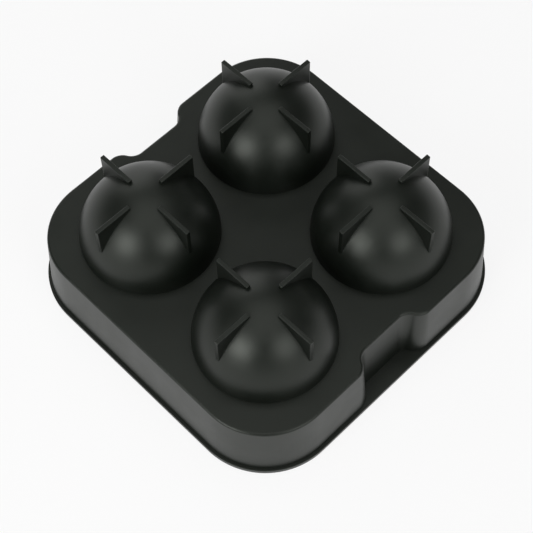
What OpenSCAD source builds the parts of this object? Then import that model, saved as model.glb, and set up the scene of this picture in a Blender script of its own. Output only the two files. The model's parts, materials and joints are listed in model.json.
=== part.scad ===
// Two-part silicone mould for four ice balls, lying feet up.
// The tray (cups, foot fins, deck and notched wall) is on top and lifts off the lid (domes with fill holes)
// that nests inside its wall. Millimetres, +Z up, origin on the floor under the middle of the square.

/* [Ice balls] */
// Diameter of an ice ball
ball_d = 45; // [38:0.5:55]
// Silicone around each ball
shell_t = 2; // [1.4:0.1:3]
// Diameter of the fill hole at the pole of each lid dome
fill_d = 8; // [5:0.5:12]

/* [Seal around each ball] */
// Flat land between the ball's edge and the bead on the lid
seal_land = 2.1; // [1.2:0.1:4]
// Width of the bead
bead_w = 1.6; // [1:0.1:3]
// Height of the bead above the lid's deck
bead_h = 1; // [0.6:0.1:1.3]
// Room left beside and over the bead in its groove
bead_gap = 0.3; // [0.3:0.05:0.5]
// Flat land outside the groove
seat_land = 0.8; // [0.5:0.1:3]
// Deck left between two neighbouring seats
seat_gap = 1.5; // [1:0.1:12]

/* [Decks] */
// Thickness of the tray's deck
deck_t = 2.5; // [2:0.1:4]
// Thickness of the lid's deck
lid_deck_t = 2.5; // [1.6:0.1:4]
// Deck between a dome's foot and the deck's edge
deck_margin = 7.9; // [7:0.1:14]
// Corner radius of the deck
corner_r = 24.5; // [12:0.5:30]

/* [Walls] */
// Thickness of the tray's wall
wall_t = 2; // [1.4:0.1:3]
// Thickness of the lid's wall
lid_wall_t = 2; // [1.4:0.1:3]
// Room between the nested walls
nest_gap = 0.3; // [0.3:0.05:0.6]
// How far the tray's wall leans out from the deck down to its lip
flare = 1.9; // [0.5:0.1:3]
// How far the rim stands past the poles of the lid's domes
rim_proud = 1.8; // [1:0.1:6]

/* [Lips] */
// How far the tray's lip stands out from the foot of its wall
lip_out = 1.1; // [0.6:0.1:4]
// Thickness of each lip
lip_t = 1.4; // [1:0.1:3]
// How far the lid's lip stays back from the tray's lip
lip_step = 0.3; // [0.1:0.1:0.8]

/* [Finger notches] */
// Depth of a notch in the deck's edge
notch_depth = 5.5; // [3:0.1:7]
// Straight length of a notch's floor
notch_floor = 16; // [10:0.5:24]
// Smallest radius left where the lid's wall turns round a notch
notch_round = 0.7; // [0.5:0.1:2]

/* [Foot fins] */
// Thickness of a fin
fin_t = 1.6; // [1:0.1:3]
// How far a fin's outer edge stays inside the dome's outline
fin_inset = 3.3; // [2:0.1:8]
// Bare radius that the fins leave around the dome's pole
fin_bare = 7; // [4:0.1:10]
// How far the fins stand past the dome's pole
fin_proud = 0.1; // [0:0.1:3]

/* [Hidden] */
$fn = 96;

// Each ball's name and its side of the middle in X and Y
BALLS = [["front_left", -1, -1], ["front_right", 1, -1], ["back_left", -1, 1], ["back_right", 1, 1]];
silicone = [0.13, 0.14, 0.135];

// Overshoot of a cutting tool past the face that it opens
cut = 1;
// Segments in each arc of a notch
notch_steps = 8;

// Ball, shell and seal radii
ball_r = ball_d / 2;
dome_r = ball_r + shell_t;
bead_in_r = ball_r + seal_land;
bead_out_r = bead_in_r + bead_w;
seat_r = bead_out_r + bead_gap + seat_land;
ball_at = seat_r + seat_gap / 2;

// Heights: the balls' centres lie in the deck's upper face, and the mould parts at the deck's underside
deck_z = dome_r + rim_proud;
part_z = deck_z - deck_t;
lid_deck_z = part_z - lid_deck_t;
lip_z = lip_t;
lip_top_z = lip_z + lip_t;
fin_top_z = deck_z + dome_r + fin_proud;

// Plan: corner arcs keep one centre while the walls lean out
deck_half = ball_at + dome_r + deck_margin;
corner_at = deck_half - corner_r;
lip_grow = flare + lip_out;

// Notch: a floor, then a hollow and a round arc on each side that meet in an S
nest_t = wall_t + nest_gap;
notch_arc_r = nest_t + lid_wall_t + notch_round;
notch_run = sqrt(4 * notch_arc_r * notch_depth - pow(notch_depth, 2));
hollow_at = [deck_half - notch_depth + notch_arc_r, notch_floor / 2];
round_at = [deck_half - notch_arc_r, notch_floor / 2 + notch_run];
meet_angle = atan2(round_at.y - hollow_at.y, round_at.x - hollow_at.x);
notch_far = deck_half + lip_grow + cut;

fin_reach = dome_r - fin_inset;

// How far the leaning wall stands out from the deck's outline at a height
function lean(z) = flare * (deck_z - z) / (deck_z - lip_top_z);

function on_arc(centre, r, angle) = centre + r * [cos(angle), sin(angle)];

function mirrored(points) = [for (i = [len(points) - 1:-1:0]) [points[i].x, -points[i].y]];

// One side of a notch, from its floor out past the wall, where the wall has grown by a distance
function notch_side(grow) = concat(
  [for (i = [0:notch_steps])
    on_arc(hollow_at, notch_arc_r - grow, 180 + (meet_angle - 180) * i / notch_steps)],
  [for (i = [1:notch_steps])
    on_arc(round_at, notch_arc_r + grow, (meet_angle - 180) * (1 - i / notch_steps))],
  [[notch_far, round_at.y]]
);

function notch_ring(grow) = concat(mirrored(notch_side(grow)), notch_side(grow));

// Round-cornered square whose outline grows from one distance to another over its height
module rounded_block(z0, z1, grow0, grow1) {
  for (x = [-1, 1], y = [-1, 1])
    translate([x * corner_at, y * corner_at, z0])
      cylinder(h = z1 - z0, r1 = corner_r + grow0, r2 = corner_r + grow1);
  for (turn = [0, 90])
    rotate(turn)
      rotate([90, 0, 0])
        linear_extrude(2 * corner_at, center = true)
          polygon([
            [-deck_half - grow0, z0],
            [deck_half + grow0, z0],
            [deck_half + grow1, z1],
            [-deck_half - grow1, z1],
          ]);
}

// Space of one finger notch, for a wall face that lies a distance inside the tray's outer face
module notch_space(z0, z1, inset) {
  low = notch_ring(lean(z0) - inset);
  high = notch_ring(lean(z1) - inset);
  count = len(low);
  last = count - 1;
  strips = [0:count / 2 - 2];
  polyhedron(
    points = concat([for (p = low) [p.x, p.y, z0]], [for (p = high) [p.x, p.y, z1]]),
    faces = concat(
      [for (i = strips) [last - i, last - i - 1, i + 1, i]],
      [for (i = strips) [count + i, count + i + 1, count + last - i - 1, count + last - i]],
      [for (i = [0:last]) [i, (i + 1) % count, count + (i + 1) % count, count + i]]
    )
  );
}

// Leaning block with both finger notches, for a face that lies a distance inside the tray's outer face
module notched_block(z0, z1, inset) {
  difference() {
    rounded_block(z0, z1, lean(z0) - inset, lean(z1) - inset);
    for (turn = [0, 180])
      rotate(turn)
        notch_space(z0 - cut, z1 + cut, inset);
  }
}

module at_ball(ball) {
  translate([ball[1] * ball_at, ball[2] * ball_at, 0]) children();
}

// Hollow that the ball freezes in
module ball_space() {
  translate([0, 0, deck_z]) sphere(ball_r);
}

// Upright ring about a ball's axis
module ring(r_in, r_out, z0, z1) {
  translate([0, 0, z0])
    difference() {
      cylinder(h = z1 - z0, r = r_out);
      translate([0, 0, -cut]) cylinder(h = z1 - z0 + 2 * cut, r = r_in);
    }
}

// Holes in a deck that the balls' seats fill
module seat_holes() {
  for (ball = BALLS)
    at_ball(ball) cylinder(h = deck_z + cut, r = seat_r);
}

// Flat web of the tray between its cups
module tray_deck() {
  color(silicone)
    difference() {
      notched_block(part_z, deck_z, 0);
      seat_holes();
    }
}

// Leaning outer wall with its finger notches and lip
module tray_wall() {
  color(silicone)
    difference() {
      union() {
        notched_block(lip_z, part_z, 0);
        rounded_block(lip_z, lip_top_z, lip_grow, lip_grow);
      }
      notched_block(lip_z - cut, part_z + cut, wall_t);
    }
}

// Half-ball cup of the tray, with the groove for the lid's bead in its seat
module cup(ball) {
  color(silicone)
    at_ball(ball)
      difference() {
        union() {
          difference() {
            translate([0, 0, deck_z]) sphere(dome_r);
            translate([-dome_r, -dome_r, 0]) cube([2 * dome_r, 2 * dome_r, deck_z]);
          }
          translate([0, 0, part_z]) cylinder(h = deck_t, r = seat_r);
        }
        ball_space();
        ring(bead_in_r - bead_gap, bead_out_r + bead_gap, part_z - cut, part_z + bead_h + bead_gap);
      }
}

// Four upright fins on the crown of a cup, which it stands on in use
module feet(ball) {
  color(silicone)
    at_ball(ball)
      for (turn = [0:90:270])
        rotate(turn)
          difference() {
            translate([fin_bare, -fin_t / 2, deck_z])
              cube([fin_reach - fin_bare, fin_t, fin_top_z - deck_z]);
            translate([0, 0, deck_z]) sphere(dome_r);
          }
}

// Flat web of the lid between its domes
module lid_deck() {
  color(silicone)
    difference() {
      notched_block(lid_deck_z, part_z, nest_t);
      seat_holes();
    }
}

// Wall of the lid that nests in the tray's wall, with the lip that the mould lies on
module lid_wall() {
  color(silicone)
    difference() {
      union() {
        notched_block(0, lid_deck_z, nest_t);
        rounded_block(0, lip_z, lip_grow - lip_step, lip_grow - lip_step);
      }
      notched_block(-cut, lid_deck_z + cut, nest_t + lid_wall_t);
    }
}

// Half-ball dome of the lid, with its seal bead and fill hole
module dome(ball) {
  color(silicone)
    at_ball(ball) {
      difference() {
        union() {
          difference() {
            translate([0, 0, deck_z]) sphere(dome_r);
            translate([-dome_r, -dome_r, part_z]) cube([2 * dome_r, 2 * dome_r, 2 * dome_r]);
          }
          translate([0, 0, lid_deck_z]) cylinder(h = lid_deck_t, r = seat_r);
          ring(bead_in_r, bead_out_r, lid_deck_z, part_z + bead_h);
        }
        ball_space();
        cylinder(h = dome_r, d = fill_d);
      }
    }
}

tray_deck();
tray_wall();
for (ball = BALLS) {
  cup(ball);
  feet(ball);
  dome(ball);
}
lid_deck();
lid_wall();
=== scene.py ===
"""Dressed scene of a two-part silicone mould for four ice balls, lying feet up on a pale floor."""

import json
import logging
from contextlib import contextmanager
from dataclasses import dataclass
from enum import Enum
from math import asin, atan2, cos, degrees, pi, radians, sin, sqrt, tan
from typing import Callable, Iterator, Sequence

import bmesh
import bpy
from mathutils import Matrix, Vector

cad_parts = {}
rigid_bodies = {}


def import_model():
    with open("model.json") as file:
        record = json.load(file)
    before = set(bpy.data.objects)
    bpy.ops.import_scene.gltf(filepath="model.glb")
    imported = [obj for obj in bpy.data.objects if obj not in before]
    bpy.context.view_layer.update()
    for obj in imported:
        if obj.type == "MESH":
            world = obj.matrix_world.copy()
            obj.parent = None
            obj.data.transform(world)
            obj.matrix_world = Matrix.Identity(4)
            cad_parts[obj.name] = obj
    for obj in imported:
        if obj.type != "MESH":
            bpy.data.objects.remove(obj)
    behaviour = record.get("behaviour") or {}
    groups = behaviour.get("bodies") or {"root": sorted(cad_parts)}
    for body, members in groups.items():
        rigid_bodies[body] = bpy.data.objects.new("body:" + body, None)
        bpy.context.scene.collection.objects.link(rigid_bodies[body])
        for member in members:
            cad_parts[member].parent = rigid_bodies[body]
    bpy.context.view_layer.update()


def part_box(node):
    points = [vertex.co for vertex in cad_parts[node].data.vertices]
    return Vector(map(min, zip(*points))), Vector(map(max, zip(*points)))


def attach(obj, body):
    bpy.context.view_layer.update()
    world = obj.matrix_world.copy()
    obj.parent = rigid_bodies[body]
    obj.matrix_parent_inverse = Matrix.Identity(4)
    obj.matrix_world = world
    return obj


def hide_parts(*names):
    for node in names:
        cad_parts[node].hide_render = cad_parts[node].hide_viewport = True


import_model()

log = logging.getLogger("ice_ball_mould")

Point = tuple[float, float]
Span = tuple[float, float]

MM = 0.001
# Distance within which two places count as one
NEAR = 0.01 * MM
# Depth to which a round at a flat face's edge reaches into the face
SINK = 0.02 * MM
# Widest turn between two faces that still shades as one round
SMOOTH_ANGLE = radians(38)
# Least upward or downward share of a level face's normal
LEVEL = 0.99999


class Ball(Enum):
    """The four balls, each with its side of the middle in X and Y."""

    FRONT_LEFT = (-1, -1)
    FRONT_RIGHT = (1, -1)
    BACK_LEFT = (-1, 1)
    BACK_RIGHT = (1, 1)

    def node(self, part: str) -> str:
        """Name of the node of a part that belongs to this ball."""
        return f"{part}_{self.name.lower()}"


class Join(Enum):
    """How a tool shape acts on the body that it meets."""

    ADD = "UNION"
    CUT = "DIFFERENCE"


class Pick(Enum):
    """Kind of mesh element to select."""

    VERTS = "VERT"
    EDGES = "EDGE"
    FACES = "FACE"


def deselect_all() -> None:
    """Leave nothing selected and nothing active."""
    bpy.ops.object.select_all(action="DESELECT")
    bpy.context.view_layer.objects.active = None


def select_only(shape: bpy.types.Object) -> None:
    """Select one shape alone and make it active."""
    deselect_all()
    shape.select_set(True)
    bpy.context.view_layer.objects.active = shape


def apply_modifier(shape: bpy.types.Object, kind: str, **settings: object) -> None:
    """Add a modifier to a shape, set it and apply it.

    Args:
        shape: The mesh object.
        kind: Blender's name for the modifier.
        **settings: Values for the modifier's properties, by name.
    """
    select_only(shape)
    bpy.ops.object.modifier_add(type=kind)
    step = shape.modifiers[-1]
    for name, value in settings.items():
        setattr(step, name, value)
    bpy.ops.object.modifier_apply(modifier=step.name)


def adopt(name: str) -> bpy.types.Object:
    """Name the primitive that was just added and move its place into its mesh.

    Args:
        name: Name for the new object.

    Returns:
        The object, at the origin, unturned and unscaled.
    """
    shape = bpy.context.view_layer.objects.active
    shape.name = name
    shape.data.name = name
    bpy.ops.object.transform_apply(location=True, rotation=True, scale=True)
    return shape


@contextmanager
def editing(shape: bpy.types.Object) -> Iterator[None]:
    """Hold a shape in edit mode.

    Args:
        shape: The mesh object to edit.

    Yields:
        Nothing, while the shape is in edit mode.
    """
    select_only(shape)
    bpy.ops.object.mode_set(mode="EDIT")
    try:
        yield
    finally:
        bpy.ops.object.mode_set(mode="OBJECT")


def pick(shape: bpy.types.Object, kind: Pick, test: Callable[[object], bool]) -> int:
    """Select the elements of a shape in edit mode that pass a test.

    Args:
        shape: The mesh object in edit mode.
        kind: Which elements to look at.
        test: Says whether an element is selected.

    Returns:
        How many elements were selected.
    """
    bpy.ops.mesh.select_mode(type=kind.value)
    bpy.ops.mesh.select_all(action="DESELECT")
    mesh = bmesh.from_edit_mesh(shape.data)
    elements = {Pick.VERTS: mesh.verts, Pick.EDGES: mesh.edges, Pick.FACES: mesh.faces}[kind]
    chosen = [element for element in elements if test(element)]
    for element in chosen:
        element.select_set(True)
    mesh.select_flush_mode()
    bmesh.update_edit_mesh(shape.data)
    return len(chosen)


def at_height(z: float) -> Callable[[object], bool]:
    """Test for an edge whose two ends lie at a height."""
    return lambda edge: all(abs(v.co.z - z) < NEAR for v in edge.verts)


def close_mesh(shape: bpy.types.Object) -> None:
    """Fill each open rim of a shape in edit mode with a face and turn all faces outwards.

    Args:
        shape: The mesh object in edit mode.
    """
    while pick(shape, Pick.EDGES, lambda edge: edge.is_boundary):
        bpy.ops.mesh.edge_face_add()
    bpy.ops.mesh.select_all(action="SELECT")
    bpy.ops.mesh.normals_make_consistent(inside=False)


def raise_by(rise: float) -> None:
    """Extrude what is selected straight up by a distance."""
    bpy.ops.mesh.extrude_region_move(TRANSFORM_OT_translate={"value": (0, 0, rise)})


def round_edges(width: float, segments: int) -> None:
    """Round the selected edges, with a radius and a number of segments."""
    bpy.ops.mesh.bevel(offset=width, segments=segments, profile=0.5, affect="EDGES", loop_slide=False)


def round_corners(reach: float, segments: int) -> None:
    """Round the selected corners of a flat face, from a distance along its edges."""
    bpy.ops.mesh.bevel(
        offset_type="ABSOLUTE", offset=reach, segments=segments, profile=0.5, affect="VERTICES"
    )


def arc(centre: Point, radius: float, start: float, end: float, steps: int = 5) -> list[Point]:
    """List the points of a round in a profile.

    Args:
        centre: The round's centre, as distance from the axis and height.
        radius: Its radius.
        start: Angle of the first point, in degrees from outwards to upwards.
        end: Angle of the last point.
        steps: Number of steps between them.

    Returns:
        The points, first to last.
    """
    angles = [radians(start + (end - start) * step / steps) for step in range(steps + 1)]
    return [(centre[0] + radius * cos(angle), centre[1] + radius * sin(angle)) for angle in angles]


def combine(body: bpy.types.Object, tool: bpy.types.Object, how: Join) -> None:
    """Add a tool shape to a body, or cut it out, and delete the tool.

    Both are split into triangles first, so that no hollow flat face has to be split after the cut.

    Args:
        body: The shape that is kept.
        tool: The shape that is used up.
        how: Whether the tool is added or cut out.
    """
    for shape in (body, tool):
        with editing(shape):
            bpy.ops.mesh.select_all(action="SELECT")
            bpy.ops.mesh.quads_convert_to_tris(quad_method="BEAUTY", ngon_method="BEAUTY")
    apply_modifier(body, "BOOLEAN", operation=how.value, solver="MANIFOLD", object=tool)
    bpy.data.objects.remove(tool)


def repeat_at(shape: bpy.types.Object, places: Sequence[Matrix]) -> bpy.types.Object:
    """Copy a shape to more places and join the copies to it.

    Args:
        shape: The shape that was modelled once.
        places: How each copy is moved or turned from the shape's own place.

    Returns:
        One object that holds the shape and all its copies.
    """
    copies = []
    for place in places:
        copy = shape.copy()
        copy.data = shape.data.copy()
        bpy.context.scene.collection.objects.link(copy)
        copy.matrix_world = place
        select_only(copy)
        bpy.ops.object.transform_apply(location=True, rotation=True, scale=True)
        copies.append(copy)
    select_only(shape)
    for copy in copies:
        copy.select_set(True)
    bpy.ops.object.join()
    return shape


def drop_scraps(shape: bpy.types.Object) -> None:
    """Delete what the cuts have left apart from the body.

    Args:
        shape: The mesh object.
    """
    reach = max(vert.co.x for vert in shape.data.vertices)
    with editing(shape):
        pick(shape, Pick.VERTS, lambda vert: vert.co.x > reach - NEAR)
        bpy.ops.mesh.select_linked()
        bpy.ops.mesh.select_all(action="INVERT")
        bpy.ops.mesh.delete(type="VERT")


def smooth_mesh(shape: bpy.types.Object) -> None:
    """Shade the rounds of a finished shape smooth while its flats stay flat.

    Args:
        shape: The mesh object.
    """
    select_only(shape)
    bpy.ops.object.shade_smooth_by_angle(angle=SMOOTH_ANGLE)
    apply_modifier(shape, "WEIGHTED_NORMAL", mode="FACE_AREA_WITH_ANGLE", keep_sharp=True)
    level_flats(shape)


def level_flats(shape: bpy.types.Object) -> None:
    """Make the shading of level faces exactly level, and start the rounds beside them from there.

    Args:
        shape: The mesh object.
    """
    mesh = shape.data
    flats = [face for face in mesh.polygons if abs(face.normal.z) > LEVEL]
    level = {vert: face.normal.copy() for face in flats for vert in face.vertices}
    normals = [corner.vector.copy() for corner in mesh.corner_normals]
    for face in mesh.polygons:
        for corner in face.loop_indices:
            flat = level.get(mesh.loops[corner].vertex_index)
            if flat and face.normal.dot(flat) > cos(SMOOTH_ANGLE):
                normals[corner] = flat
    mesh.normals_split_custom_set(normals)


@dataclass(frozen=True)
class MouldPlan:
    """Sizes that the tray and the lid share, in metres.

    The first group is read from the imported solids, and the second repeats the sizes that a box can't give.
    """

    ball_at: float
    dome_r: float
    deck_z: float
    part_z: float
    lid_deck_z: float
    lip_z: float
    lip_half: float
    lid_lip_half: float
    fin_top_z: float
    fin_reach: float

    shell_t: float = 2 * MM
    corner_r: float = 24.5 * MM
    wall_t: float = 2 * MM
    lid_wall_t: float = 2 * MM
    nest_gap: float = 0.3 * MM
    flare: float = 1.9 * MM
    lip_out: float = 1.1 * MM
    notch_depth: float = 5.5 * MM
    notch_floor: float = 16 * MM
    notch_arc_r: float = 5 * MM

    @classmethod
    def from_frame(cls) -> "MouldPlan":
        """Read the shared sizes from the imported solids.

        Returns:
            The plan, with the sizes that a box can't give as they stand here.
        """
        cup_low, cup_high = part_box("cup_front_right")
        deck_low, deck_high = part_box("tray_deck")
        wall_low, wall_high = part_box("tray_wall")
        fins_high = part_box("feet_front_right")[1]
        ball_at = (cup_low.x + cup_high.x) / 2
        return cls(
            ball_at=ball_at,
            dome_r=cup_high.z - deck_high.z,
            deck_z=deck_high.z,
            part_z=deck_low.z,
            lid_deck_z=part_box("lid_deck")[0].z,
            lip_z=wall_low.z,
            lip_half=wall_high.x,
            lid_lip_half=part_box("lid_wall")[1].x,
            fin_top_z=fins_high.z,
            fin_reach=fins_high.x - ball_at,
        )

    @property
    def ball_r(self) -> float:
        """Radius of an ice ball."""
        return self.dome_r - self.shell_t

    @property
    def lip_top_z(self) -> float:
        """Height of the upper face of the tray's lip, which is as thick as the lid's."""
        return 2 * self.lip_z

    @property
    def deck_half(self) -> float:
        """Half the width of the deck."""
        return self.lip_half - self.flare - self.lip_out

    @property
    def nest_t(self) -> float:
        """Distance from the tray's outer face to the lid's outer face."""
        return self.wall_t + self.nest_gap

    def lean(self, z: float) -> float:
        """How far the leaning wall stands out from the deck's outline at a height."""
        return self.flare * (self.deck_z - z) / (self.deck_z - self.lip_top_z)

    def other_balls(self) -> list[Matrix]:
        """Work out the moves from the front left ball to the other three.

        Returns:
            One move for each of them.
        """
        home = Vector(Ball.FRONT_LEFT.value)
        others = [ball for ball in Ball if ball is not Ball.FRONT_LEFT]
        return [Matrix.Translation(((Vector(ball.value) - home) * self.ball_at).to_3d()) for ball in others]

    def home_ball(self) -> Vector:
        """Centre of the front left ball, where what repeats is modelled."""
        x, y = Ball.FRONT_LEFT.value
        return Vector((x * self.ball_at, y * self.ball_at, self.deck_z))


@dataclass(frozen=True)
class NotchedBlock:
    """Leaning block with round corners and a finger notch on two sides.

    Its side face lies a distance inside the tray's outer face, so that one shape gives both nested walls.
    """

    plan: MouldPlan
    inset: float
    low_z: float
    high_z: float
    edge_r: float
    corner_segments: int = 28
    notch_segments: int = 12
    edge_segments: int = 5
    arc_share: float = 0.98

    def notch_bend(self, grow: float) -> tuple[float, float, float]:
        """Work out a notch's two bends where the outline has grown by a distance.

        Args:
            grow: How far the outline stands out from the deck's.

        Returns:
            The bend's y at the wall, its y at the floor, and the tangent of half its turn.
        """
        plan = self.plan
        arc_r = plan.notch_arc_r
        run = sqrt(4 * arc_r * plan.notch_depth - plan.notch_depth**2)
        turn = atan2(run, 2 * arc_r - plan.notch_depth)
        across = Vector((-cos(turn), sin(turn)))
        floor_x = plan.deck_half - plan.notch_depth
        meet = across.dot(Vector((floor_x + arc_r, plan.notch_floor / 2))) + arc_r - grow
        wall_y = (meet - across.x * (plan.deck_half + grow)) / across.y
        floor_y = (meet - across.x * (floor_x + grow)) / across.y
        return wall_y, floor_y, tan(turn / 2)

    @staticmethod
    def lies_along(edge: bmesh.types.BMEdge, x: float) -> bool:
        """Say whether both ends of an edge lie at an x."""
        return all(abs(v.co.x - x) < NEAR for v in edge.verts)

    def draw_outline(self, shape: bpy.types.Object, grow: float) -> None:
        """Turn a square in edit mode into the notched outline.

        Args:
            shape: The square, with its half width at the outline's straight sides.
            grow: How far the outline stands out from the deck's.
        """
        plan = self.plan
        half = plan.deck_half + grow
        floor_x = half - plan.notch_depth
        wall_y, floor_y, half_turn = self.notch_bend(grow)
        # Four cuts split each notched side in fifths
        cuts = 4
        outer_cut, inner_cut = 3 / 5 * half, 1 / 5 * half
        bpy.ops.mesh.delete(type="ONLY_FACE")
        pick(shape, Pick.EDGES, lambda edge: self.lies_along(edge, half) or self.lies_along(edge, -half))
        bpy.ops.mesh.subdivide(number_cuts=cuts)
        pick(shape, Pick.VERTS, lambda v: abs(abs(v.co.y) - outer_cut) < NEAR)
        bpy.ops.transform.resize(value=(1, wall_y / outer_cut, 1), center_override=(0, 0, 0))
        pick(shape, Pick.VERTS, lambda v: abs(abs(v.co.y) - inner_cut) < NEAR)
        inwards = (floor_x / half, floor_y / inner_cut, 1)
        bpy.ops.transform.resize(value=inwards, center_override=(0, 0, 0))
        bpy.ops.mesh.select_all(action="SELECT")
        bpy.ops.mesh.edge_face_add()
        pick(shape, Pick.FACES, lambda face: face.normal.z < 0)
        bpy.ops.mesh.flip_normals()
        pick(shape, Pick.VERTS, lambda v: abs(abs(v.co.y) - half) < NEAR)
        round_corners(plan.corner_r + grow, self.corner_segments)
        pick(shape, Pick.VERTS, lambda v: abs(abs(v.co.x) - floor_x) < NEAR)
        round_corners((plan.notch_arc_r - grow) * half_turn * self.arc_share, self.notch_segments)
        pick(shape, Pick.VERTS, lambda v: (abs(v.co.x) - half) ** 2 + (abs(v.co.y) - wall_y) ** 2 < NEAR**2)
        round_corners((plan.notch_arc_r + grow) * half_turn * self.arc_share, self.notch_segments)

    def build(self, name: str) -> bpy.types.Object:
        """Draw the outline at the foot, raise it to the top and round the top edge.

        Args:
            name: Name for the block.

        Returns:
            A closed mesh object.
        """
        foot_lean, top_lean = self.plan.lean(self.low_z), self.plan.lean(self.high_z)
        grow = foot_lean - self.inset
        width = 2 * (self.plan.deck_half + grow)
        deselect_all()
        bpy.ops.mesh.primitive_plane_add(size=width, location=(0, 0, self.low_z))
        shape = adopt(name)
        with editing(shape):
            self.draw_outline(shape, grow)
            pick(shape, Pick.FACES, lambda face: True)
            bpy.ops.mesh.inset(thickness=foot_lean - top_lean, depth=self.high_z - self.low_z)
            pick(shape, Pick.EDGES, at_height(self.high_z))
            round_edges(self.edge_r, self.edge_segments)
            close_mesh(shape)
        return shape


@dataclass(frozen=True)
class LipPlate:
    """Round-cornered slab that becomes a lip once the inside is cut out."""

    half: float
    corner_r: float
    low_z: float
    high_z: float
    edge_r: float
    corner_segments: int = 28
    edge_segments: int = 3

    def build(self, name: str) -> bpy.types.Object:
        """Round a square's corners, raise it and round both rims.

        Args:
            name: Name for the slab.

        Returns:
            A closed mesh object.
        """
        deselect_all()
        bpy.ops.mesh.primitive_plane_add(size=2 * self.half, location=(0, 0, self.low_z))
        shape = adopt(name)
        with editing(shape):
            round_corners(self.corner_r, self.corner_segments)
            bpy.ops.mesh.select_all(action="SELECT")
            raise_by(self.high_z - self.low_z)
            close_mesh(shape)
            at_foot, at_top = at_height(self.low_z), at_height(self.high_z)
            pick(shape, Pick.EDGES, lambda edge: at_foot(edge) or at_top(edge))
            round_edges(self.edge_r, self.edge_segments)
        return shape


@dataclass(frozen=True)
class Globe:
    """Grid of the balls and domes, turned half a step so that no fin lies along a meridian."""

    segments: int = 96
    rings: int = 62
    foot_steps: int = 7

    def add(self, name: str, centre: Vector, radius: float) -> bpy.types.Object:
        """Add a whole globe.

        Args:
            name: Name for the globe.
            centre: Its centre.
            radius: Its radius.

        Returns:
            A closed mesh object.
        """
        deselect_all()
        bpy.ops.mesh.primitive_uv_sphere_add(
            segments=self.segments,
            ring_count=self.rings,
            radius=radius,
            location=centre,
            rotation=(0, 0, pi / self.segments),
        )
        return adopt(name)

    def add_dome(
        self,
        name: str,
        centre: Vector,
        radius: float,
        base_z: float,
        up: bool,
        foot_r: float,
        stem: float,
    ) -> bpy.types.Object:
        """Add the part of a globe beyond a flat face, with a hollow round foot and a stem into the face.

        Args:
            name: Name for the dome.
            centre: Centre of the globe.
            radius: Radius of the globe.
            base_z: Height of the flat face.
            up: Whether the dome stands up from the face or hangs from it.
            foot_r: Radius of the hollow round at the dome's foot.
            stem: How far the stem reaches into the face.

        Returns:
            A closed mesh object.
        """
        side = 1 if up else -1
        rise = side * (base_z - centre.z) + foot_r - SINK
        reach = sqrt((radius + foot_r) ** 2 - rise**2)
        touch = radius / (radius + foot_r)
        shape = self.add(name, centre, radius)
        with editing(shape):
            bpy.ops.mesh.select_all(action="SELECT")
            bpy.ops.mesh.bisect(
                plane_co=(0, 0, centre.z + side * rise * touch), plane_no=(0, 0, side), clear_inner=True
            )
            start = asin(rise * touch / radius)
            at_r, at_z = reach * touch, rise * touch
            for step in range(1, self.foot_steps + 1):
                angle = start + (pi / 2 - start) * step / self.foot_steps
                next_r = reach - foot_r * cos(angle)
                next_z = rise - foot_r * sin(angle)
                self.grow_rim(shape, centre, next_r / at_r, side * (next_z - at_z))
                at_r, at_z = next_r, next_z
            self.grow_rim(shape, centre, 1, -side * stem)
            close_mesh(shape)
        return shape

    @staticmethod
    def grow_rim(shape: bpy.types.Object, centre: Vector, widen: float, rise: float) -> None:
        """Pull a new ring out of an open rim of a shape in edit mode.

        Args:
            shape: The mesh object in edit mode.
            centre: Point of the axis that the ring goes round.
            widen: The new ring's radius as a share of the rim's.
            rise: How far the new ring lies above the rim.
        """
        pick(shape, Pick.EDGES, lambda edge: edge.is_boundary)
        raise_by(rise)
        bpy.ops.transform.resize(value=(widen, widen, 1), center_override=tuple(centre))


@dataclass(frozen=True)
class TurnedShape:
    """Profile that is turned round a ball's axis, as distances from the axis and heights."""

    profile: tuple[Point, ...]
    ring: bool
    segments: int = 96

    def build(self, name: str, centre: Vector) -> bpy.types.Object:
        """Pull a circle along the profile, and close it with two end faces or into a ring.

        Args:
            name: Name for the shape.
            centre: Point of the ball's axis.

        Returns:
            A closed mesh object.
        """
        at_r, at_z = self.profile[0]
        start = (centre.x, centre.y, at_z)
        deselect_all()
        bpy.ops.mesh.primitive_circle_add(vertices=self.segments, radius=at_r, location=start)
        shape = adopt(name)
        with editing(shape):
            bpy.ops.mesh.select_all(action="SELECT")
            for next_r, next_z in self.profile[1:]:
                raise_by(next_z - at_z)
                widen, middle = next_r / at_r, (centre.x, centre.y, next_z)
                bpy.ops.transform.resize(value=(widen, widen, 1), center_override=middle)
                at_r, at_z = next_r, next_z
            if self.ring:
                pick(shape, Pick.EDGES, lambda edge: edge.is_boundary)
                bpy.ops.mesh.bridge_edge_loops()
            close_mesh(shape)
        return shape


@dataclass(frozen=True)
class SealRing:
    """Upright ring round a ball on a flat face: the lid's bead, or the groove that takes it."""

    inner_r: float
    outer_r: float
    base_z: float
    high_z: float
    edge_r: float
    mouth_r: float = 0
    stem: float = 1 * MM

    def shape(self) -> TurnedShape:
        """Draw the ring's profile, with round upper rims and, for a groove, a round mouth.

        Returns:
            The turned shape, which reaches through the flat face.
        """
        edge_r, mouth_r, foot_z = self.edge_r, self.mouth_r, self.base_z - self.stem
        rim_z, mouth_z = self.high_z - edge_r, self.base_z + mouth_r - SINK
        profile = arc((self.inner_r + edge_r, rim_z), edge_r, 180, 90)
        profile += arc((self.outer_r - edge_r, rim_z), edge_r, 90, 0)
        if mouth_r:
            profile = arc((self.inner_r - mouth_r, mouth_z), mouth_r, -90, 0) + profile
            profile += arc((self.outer_r + mouth_r, mouth_z), mouth_r, 180, 270)
        inner_foot, outer_foot = (profile[0][0], foot_z), (profile[-1][0], foot_z)
        return TurnedShape((inner_foot, *profile, outer_foot), ring=True)


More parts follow.
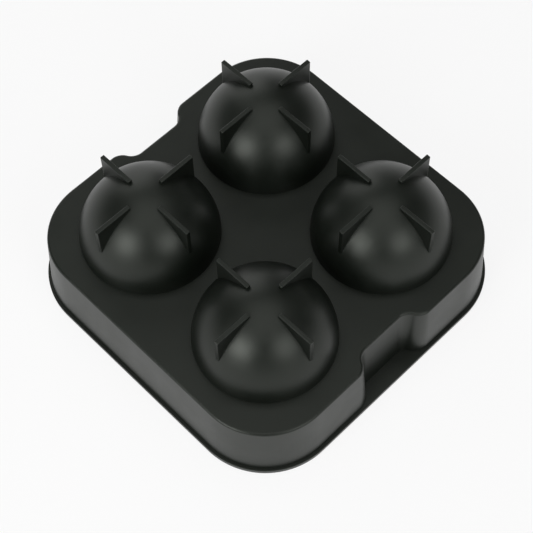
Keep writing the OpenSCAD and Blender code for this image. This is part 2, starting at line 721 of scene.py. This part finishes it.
@dataclass(frozen=True)
class Crown:
    """Dome of a tray's cup, with the four upright fins that it stands on in use."""

    plan: MouldPlan
    globe: Globe
    fin_t: float = 1.6 * MM
    fin_bare: float = 7 * MM
    fin_edge_r: float = 0.25 * MM
    fin_edge_segments: int = 3
    foot_r: float = 0.12 * MM
    stem: float = 1.2 * MM
    fin_root: float = 6 * MM

    def build_fins(self, centre: Vector) -> bpy.types.Object:
        """Model one fin and copy it a quarter turn at a time.

        Args:
            centre: Centre of the ball.

        Returns:
            One mesh object with four fins that reach down into the dome.
        """
        reach = self.plan.fin_reach
        low_z, high_z = centre.z + self.fin_root, self.plan.fin_top_z
        middle = (centre.x + (self.fin_bare + reach) / 2, centre.y, (low_z + high_z) / 2)
        size = (reach - self.fin_bare, self.fin_t, high_z - low_z)
        deselect_all()
        bpy.ops.mesh.primitive_cube_add(size=1, location=middle, scale=size)
        fin = adopt("fins")
        with editing(fin):
            pick(fin, Pick.EDGES, lambda edge: not at_height(low_z)(edge))
            round_edges(self.fin_edge_r, self.fin_edge_segments)
        there, back = Matrix.Translation(centre), Matrix.Translation(-centre)
        turns = [there @ Matrix.Rotation(quarter * pi / 2, 4, "Z") @ back for quarter in (1, 2, 3)]
        return repeat_at(fin, turns)

    def build(self, name: str) -> bpy.types.Object:
        """Set the fins on one dome and copy it to all four balls.

        Args:
            name: Name for the crowns.

        Returns:
            One mesh object with four closed crowns.
        """
        centre = self.plan.home_ball()
        crown = self.globe.add_dome(
            name, centre, self.plan.dome_r, self.plan.deck_z, True, self.foot_r, self.stem
        )
        combine(crown, self.build_fins(centre), Join.ADD)
        return repeat_at(crown, self.plan.other_balls())


@dataclass(frozen=True)
class SiliconeFinish:
    """Matt black silicone with a green cast: fine moulded grain, soft tone changes and greyed edges."""

    name: str
    colour: tuple[float, float, float] = (0.0033, 0.0048, 0.0032)
    greyed: tuple[float, float, float] = (0.0116, 0.0140, 0.0112)
    gloss_tint: tuple[float, float, float] = (0.95, 1.0, 0.92)
    ior: float = 1.46
    smooth: float = 0.37
    rough: float = 0.44
    grain_size: float = 0.35 * MM
    grain_height: float = 0.010 * MM
    tone_size: float = 14 * MM
    tone_span: Span = (0.35, 0.75)
    tone_share: float = 0.30
    polish_span: Span = (0.3, 0.7)
    edge_reach: float = 0.7 * MM
    edge_span: Span = (0.95, 0.55)
    edge_share: float = 1.2
    edge_samples: int = 8

    def build(self) -> bpy.types.Material:
        """Wire the finish.

        Returns:
            A node material on object coordinates.
        """
        board = NodeBoard.for_material(self.name)
        place = board.add("ShaderNodeTexCoord").outputs["Object"]
        tone = board.add("ShaderNodeTexNoise", Scale=1 / self.tone_size, Detail=3.0, Roughness=0.6)
        board.link(place, tone.inputs["Vector"])
        grain = board.add("ShaderNodeTexNoise", Scale=1 / self.grain_size, Detail=2.0, Roughness=0.55)
        board.link(place, grain.inputs["Vector"])

        cloudy = board.remap(tone.outputs["Fac"], self.tone_span, (0, self.tone_share))
        worn = board.maths("MULTIPLY", self.find_edges(board), tone.outputs["Fac"])
        share = board.maths("MAXIMUM", cloudy, worn)
        blend = board.add("ShaderNodeMix", data_type="RGBA")
        blend.inputs["A"].default_value = (*self.colour, 1)
        blend.inputs["B"].default_value = (*self.greyed, 1)
        board.link(share, blend.inputs["Factor"])

        polish = board.remap(tone.outputs["Fac"], self.polish_span, (self.smooth, self.rough))
        bump = board.add("ShaderNodeBump", Strength=1.0, Distance=self.grain_height)
        board.link(grain.outputs["Fac"], bump.inputs["Height"])

        skin = board.add("ShaderNodeBsdfPrincipled")
        skin.inputs["IOR"].default_value = self.ior
        skin.inputs["Specular Tint"].default_value = (*self.gloss_tint, 1)
        board.link(blend.outputs["Result"], skin.inputs["Base Color"])
        board.link(polish, skin.inputs["Roughness"])
        board.link(bump.outputs["Normal"], skin.inputs["Normal"])
        board.finish(skin.outputs["BSDF"])
        return board.owner

    def find_edges(self, board: "NodeBoard") -> bpy.types.NodeSocket:
        """Find the outer edges, where the silicone just under the surface is thin.

        Args:
            board: The material's node tree.

        Returns:
            A socket that is 0 on flats and hollows and rises towards outer edges.
        """
        depth = board.add("ShaderNodeAmbientOcclusion", Distance=self.edge_reach)
        depth.inside = True
        depth.only_local = True
        depth.samples = self.edge_samples
        return board.remap(depth.outputs["AO"], self.edge_span, (0, self.edge_share))


@dataclass
class NodeBoard:
    """A node tree that a finish is wired on."""

    owner: bpy.types.ID
    tree: bpy.types.NodeTree
    output: bpy.types.Node

    @classmethod
    def for_material(cls, name: str) -> "NodeBoard":
        """Start an empty material.

        Args:
            name: Name for the material.

        Returns:
            The board on its node tree.
        """
        material = bpy.data.materials.new(name)
        material.use_nodes = True
        material.node_tree.nodes.clear()
        return cls(material, material.node_tree, material.node_tree.nodes.new("ShaderNodeOutputMaterial"))

    @classmethod
    def for_world(cls, name: str) -> "NodeBoard":
        """Start an empty world.

        Args:
            name: Name for the world.

        Returns:
            The board on its node tree.
        """
        world = bpy.data.worlds.new(name)
        world.use_nodes = True
        world.node_tree.nodes.clear()
        return cls(world, world.node_tree, world.node_tree.nodes.new("ShaderNodeOutputWorld"))

    def add(self, kind: str, data_type: str | None = None, **values: float) -> bpy.types.Node:
        """Add a node.

        Args:
            kind: Blender's name for the node.
            data_type: Kind of data that a mix node works on.
            **values: Numbers for the node's input sockets, by socket name.

        Returns:
            The new node.
        """
        node = self.tree.nodes.new(kind)
        if data_type:
            node.data_type = data_type
        for socket, value in values.items():
            node.inputs[socket].default_value = value
        return node

    def link(self, source: bpy.types.NodeSocket, target: bpy.types.NodeSocket) -> None:
        """Join an output socket to an input socket."""
        self.tree.links.new(source, target)

    def maths(self, operation: str, first: bpy.types.NodeSocket, second: object) -> bpy.types.NodeSocket:
        """Work on one or two sockets.

        Args:
            operation: Blender's name for the operation.
            first: The first socket.
            second: The second socket, or a number.

        Returns:
            The result's socket.
        """
        node = self.tree.nodes.new("ShaderNodeMath")
        node.operation = operation
        self.link(first, node.inputs[0])
        if isinstance(second, (int, float)):
            node.inputs[1].default_value = second
        else:
            self.link(second, node.inputs[1])
        return node.outputs[0]

    def remap(
        self, value: bpy.types.NodeSocket, source: Span, target: Span, steps: str = "LINEAR"
    ) -> bpy.types.NodeSocket:
        """Turn one range of values into another, and hold it at the ends.

        Args:
            value: The socket that gives the values.
            source: Values that become the two ends of the target.
            target: The range to give.
            steps: Blender's name for the way between the ends.

        Returns:
            The result's socket.
        """
        node = self.tree.nodes.new("ShaderNodeMapRange")
        node.interpolation_type = steps
        ends = {"From Min": source[0], "From Max": source[1], "To Min": target[0], "To Max": target[1]}
        for socket, end in ends.items():
            node.inputs[socket].default_value = end
        self.link(value, node.inputs["Value"])
        return node.outputs["Result"]

    def finish(self, shader: bpy.types.NodeSocket) -> None:
        """Wire the shader to the output."""
        self.link(shader, self.output.inputs["Surface"])


@dataclass
class Tray:
    """Upper moulding: deck, notched wall with its lip, four cups and their foot fins."""

    plan: MouldPlan
    finish: SiliconeFinish
    globe: Globe
    deck_edge_r: float = 0.9 * MM
    inside_edge_r: float = 0.7 * MM
    lip_edge_r: float = 0.2 * MM
    groove_inner_r: float = 24.3 * MM
    groove_outer_r: float = 26.5 * MM
    groove_depth: float = 1.3 * MM
    mouth_edge_r: float = 0.3 * MM
    overshoot: float = 1 * MM

    def build(self) -> bpy.types.Object:
        """Model the tray as one closed moulding.

        Returns:
            The finished mesh object.
        """
        plan = self.plan
        home = plan.home_ball()
        lip = LipPlate(
            half=plan.lip_half,
            corner_r=plan.corner_r + plan.flare + plan.lip_out,
            low_z=plan.lip_z,
            high_z=plan.lip_top_z,
            edge_r=self.lip_edge_r,
        )
        wall_foot_z = (plan.lip_z + plan.lip_top_z) / 2
        wall = NotchedBlock(plan, 0, wall_foot_z, plan.deck_z, self.deck_edge_r)
        body = wall.build("tray_moulding")
        combine(body, lip.build("tray_lip"), Join.ADD)
        combine(body, Crown(plan, self.globe).build("crowns"), Join.ADD)
        inside_foot_z = plan.lip_z - self.overshoot
        inside = NotchedBlock(plan, plan.wall_t, inside_foot_z, plan.part_z, self.inside_edge_r)
        combine(body, inside.build("tray_inside"), Join.CUT)
        ball = self.globe.add_dome(
            "balls", home, plan.ball_r, plan.part_z, True, self.mouth_edge_r, self.overshoot
        )
        combine(body, repeat_at(ball, plan.other_balls()), Join.CUT)
        groove = SealRing(
            self.groove_inner_r,
            self.groove_outer_r,
            plan.part_z,
            plan.part_z + self.groove_depth,
            self.mouth_edge_r,
            self.mouth_edge_r,
        )
        combine(body, repeat_at(groove.shape().build("grooves", home), plan.other_balls()), Join.CUT)
        drop_scraps(body)
        smooth_mesh(body)
        return body

    def dress(self, body: bpy.types.Object) -> None:
        """Give the tray its finish and tie it to the solids that it stands for.

        Args:
            body: The finished mesh object.
        """
        body.data.materials.clear()
        body.data.materials.append(self.finish.build())
        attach(body, "tray")
        nodes = [ball.node(part) for part in ("cup", "feet") for ball in Ball]
        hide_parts("tray_deck", "tray_wall", *nodes)


@dataclass
class Lid:
    """Lower moulding: deck, nested wall with the lip that it lies on, and four domes with fill holes."""

    plan: MouldPlan
    finish: SiliconeFinish
    globe: Globe
    deck_edge_r: float = 0.6 * MM
    inside_edge_r: float = 0.4 * MM
    lip_edge_r: float = 0.2 * MM
    dome_foot_r: float = 0.7 * MM
    dome_stem: float = 1.2 * MM
    bead_inner_r: float = 24.6 * MM
    bead_outer_r: float = 26.2 * MM
    bead_h: float = 1 * MM
    bead_edge_r: float = 0.5 * MM
    fill_r: float = 4 * MM
    mouth_edge_r: float = 0.3 * MM
    overshoot: float = 1 * MM

    def build_fill_holes(self) -> bpy.types.Object:
        """Model the pins that cut the fill holes at the domes' poles, with a round at each mouth.

        Returns:
            One mesh object with four pins.
        """
        home = self.plan.home_ball()
        round_r = self.mouth_edge_r
        axis_r = self.fill_r + round_r
        inner_z = -sqrt((self.plan.ball_r + round_r - SINK) ** 2 - axis_r**2)
        outer_z = -sqrt((self.plan.dome_r - round_r + SINK) ** 2 - axis_r**2)
        inner = arc((axis_r, home.z + inner_z), round_r, degrees(atan2(-inner_z, -axis_r)), 180)
        outer = arc((axis_r, home.z + outer_z), round_r, 180, 360 + degrees(atan2(outer_z, axis_r)))
        (top_r, top_z), (foot_r, foot_z) = inner[0], outer[-1]
        top, foot = (top_r, top_z + self.overshoot), (foot_r, foot_z - self.overshoot)
        pin = TurnedShape((top, *inner, *outer, foot), ring=False)
        return repeat_at(pin.build("fill_holes", home), self.plan.other_balls())

    def build(self) -> bpy.types.Object:
        """Model the lid as one closed moulding.

        Returns:
            The finished mesh object.
        """
        plan = self.plan
        home = plan.home_ball()
        lip = LipPlate(
            half=plan.lid_lip_half,
            corner_r=plan.lid_lip_half - plan.deck_half + plan.corner_r,
            low_z=0,
            high_z=plan.lip_z,
            edge_r=self.lip_edge_r,
        )
        wall = NotchedBlock(plan, plan.nest_t, plan.lip_z / 2, plan.part_z, self.deck_edge_r)
        body = wall.build("lid_moulding")
        combine(body, lip.build("lid_lip"), Join.ADD)
        inside = NotchedBlock(
            plan, plan.nest_t + plan.lid_wall_t, -self.overshoot, plan.lid_deck_z, self.inside_edge_r
        )
        combine(body, inside.build("lid_inside"), Join.CUT)
        dome = self.globe.add_dome(
            "domes", home, plan.dome_r, plan.lid_deck_z, False, self.dome_foot_r, self.dome_stem
        )
        combine(body, repeat_at(dome, plan.other_balls()), Join.ADD)
        bead = SealRing(
            self.bead_inner_r, self.bead_outer_r, plan.part_z, plan.part_z + self.bead_h, self.bead_edge_r
        )
        combine(body, repeat_at(bead.shape().build("beads", home), plan.other_balls()), Join.ADD)
        ball = self.globe.add_dome(
            "balls", home, plan.ball_r, plan.part_z, False, self.mouth_edge_r, self.overshoot
        )
        combine(body, repeat_at(ball, plan.other_balls()), Join.CUT)
        combine(body, self.build_fill_holes(), Join.CUT)
        drop_scraps(body)
        smooth_mesh(body)
        return body

    def dress(self, body: bpy.types.Object) -> None:
        """Give the lid its finish and tie it to the solids that it stands for.

        Args:
            body: The finished mesh object.
        """
        body.data.materials.clear()
        body.data.materials.append(self.finish.build())
        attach(body, "lid")
        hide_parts("lid_deck", "lid_wall", *[ball.node("dome") for ball in Ball])


@dataclass(frozen=True)
class SoftBox:
    """Square studio lamp that faces the mould."""

    name: str
    azimuth: float
    elevation: float
    distance: float
    size: float
    power: float

    def build(self, target: Vector) -> None:
        """Hang the lamp and turn it to the target.

        Args:
            target: Point that the lamp faces.
        """
        data = bpy.data.lights.new(self.name, "AREA")
        data.shape = "SQUARE"
        data.size = self.size
        data.energy = self.power
        lamp = bpy.data.objects.new(self.name, data)
        bpy.context.scene.collection.objects.link(lamp)
        lamp.visible_camera = False
        back = direction(self.azimuth, self.elevation)
        lamp.location = target + back * self.distance
        lamp.rotation_euler = back.to_track_quat("Z", "Y").to_euler()


def direction(azimuth: float, elevation: float) -> Vector:
    """Unit vector towards an azimuth, from -Y round to +X, and an elevation, in degrees."""
    a, e = radians(azimuth), radians(elevation)
    return Vector((sin(a) * cos(e), -cos(a) * cos(e), sin(e)))


@dataclass(frozen=True)
class Viewpoint:
    """Camera at the photograph's viewing angle."""

    azimuth: float = 46.33
    elevation: float = 60.71
    roll: float = -1.2
    place: tuple[float, float, float] = (178.28 * MM, -170.13 * MM, 441.18 * MM)
    lens: float = 94.64
    sensor: float = 36
    nearest: float = 10 * MM

    def build(self) -> None:
        """Make the camera and hand it to the scene."""
        data = bpy.data.cameras.new("viewpoint")
        data.lens = self.lens
        data.sensor_width = self.sensor
        data.clip_start = self.nearest
        camera = bpy.data.objects.new("viewpoint", data)
        bpy.context.scene.collection.objects.link(camera)
        back = direction(self.azimuth, self.elevation)
        level = direction(self.azimuth + 90, 0)
        turn = Matrix((level, back.cross(level), back)).transposed()
        camera.rotation_euler = (turn @ Matrix.Rotation(radians(self.roll), 3, "Z")).to_euler()
        camera.location = self.place
        bpy.context.scene.camera = camera


@dataclass(frozen=True)
class Studio:
    """Pale floor, surroundings that are white at the horizon, and four soft boxes."""

    floor_size: float = 6.0
    floor_tone: float = 0.86
    floor_glow: float = 0.85
    horizon_level: float = 1.0
    zenith_level: float = 0.10
    horizon_reach: float = 0.30
    boxes: tuple[SoftBox, ...] = (
        SoftBox("front_soft_box", azimuth=3, elevation=31, distance=0.9, size=0.45, power=4.1),
        SoftBox("right_soft_box", azimuth=83, elevation=35, distance=0.9, size=0.45, power=2.4),
        SoftBox("overhead_soft_box", azimuth=46, elevation=88, distance=0.9, size=0.90, power=2.7),
        SoftBox("back_soft_box", azimuth=246, elevation=28, distance=0.9, size=0.60, power=1.5),
    )

    def build_floor(self) -> None:
        """Lay the floor, which shows white to the camera and in gloss, and keeps the mould's shadow."""
        deselect_all()
        bpy.ops.mesh.primitive_plane_add(size=self.floor_size)
        floor = adopt("floor")
        board = NodeBoard.for_material("pale_floor")
        paper = board.add("ShaderNodeBsdfDiffuse")
        paper.inputs["Color"].default_value = (self.floor_tone, self.floor_tone, self.floor_tone, 1)
        glow = board.add("ShaderNodeEmission", Strength=1.0)
        ray = board.add("ShaderNodeLightPath")
        shown = board.maths("MAXIMUM", ray.outputs["Is Camera Ray"], ray.outputs["Is Glossy Ray"])
        shown = board.maths("MAXIMUM", shown, ray.outputs["Is Transmission Ray"])
        share = board.maths("MULTIPLY", shown, self.floor_glow)
        mix = board.add("ShaderNodeMixShader")
        board.link(share, mix.inputs["Fac"])
        board.link(paper.outputs["BSDF"], mix.inputs[1])
        board.link(glow.outputs["Emission"], mix.inputs[2])
        board.finish(mix.outputs["Shader"])
        floor.data.materials.append(board.owner)

    def build_world(self) -> None:
        """Make surroundings that are white at the horizon and dim overhead."""
        board = NodeBoard.for_world("studio")
        way = board.add("ShaderNodeTexCoord").outputs["Generated"]
        split = board.add("ShaderNodeSeparateXYZ")
        board.link(way, split.inputs["Vector"])
        levels = (self.horizon_level, self.zenith_level)
        level = board.remap(split.outputs["Z"], (0, self.horizon_reach), levels, steps="SMOOTHSTEP")
        sky = board.add("ShaderNodeBackground")
        sky.inputs["Color"].default_value = (1, 1, 1, 1)
        board.link(level, sky.inputs["Strength"])
        board.finish(sky.outputs["Background"])
        bpy.context.scene.world = board.owner

    def build(self, target: Vector) -> None:
        """Set up floor, surroundings and lamps.

        Args:
            target: Point that the lamps face.
        """
        self.build_floor()
        self.build_world()
        for box in self.boxes:
            box.build(target)
        bpy.context.scene.view_settings.view_transform = "Standard"


def main() -> None:
    """Model both halves of the mould, dress them and light them."""
    logging.basicConfig(level=logging.INFO, format="%(name)s: %(message)s")
    deselect_all()
    plan = MouldPlan.from_frame()
    globe = Globe()
    Viewpoint().build()
    Studio().build(Vector((0, 0, plan.deck_z)))
    tray = Tray(plan, SiliconeFinish("tray_silicone"), globe)
    lid = Lid(plan, SiliconeFinish("lid_silicone"), globe)
    for half in (tray, lid):
        body = half.build()
        half.dress(body)
        log.info("%s: %d faces, finish %s", body.name, len(body.data.polygons), half.finish.name)


if __name__ == "__main__":
    main()
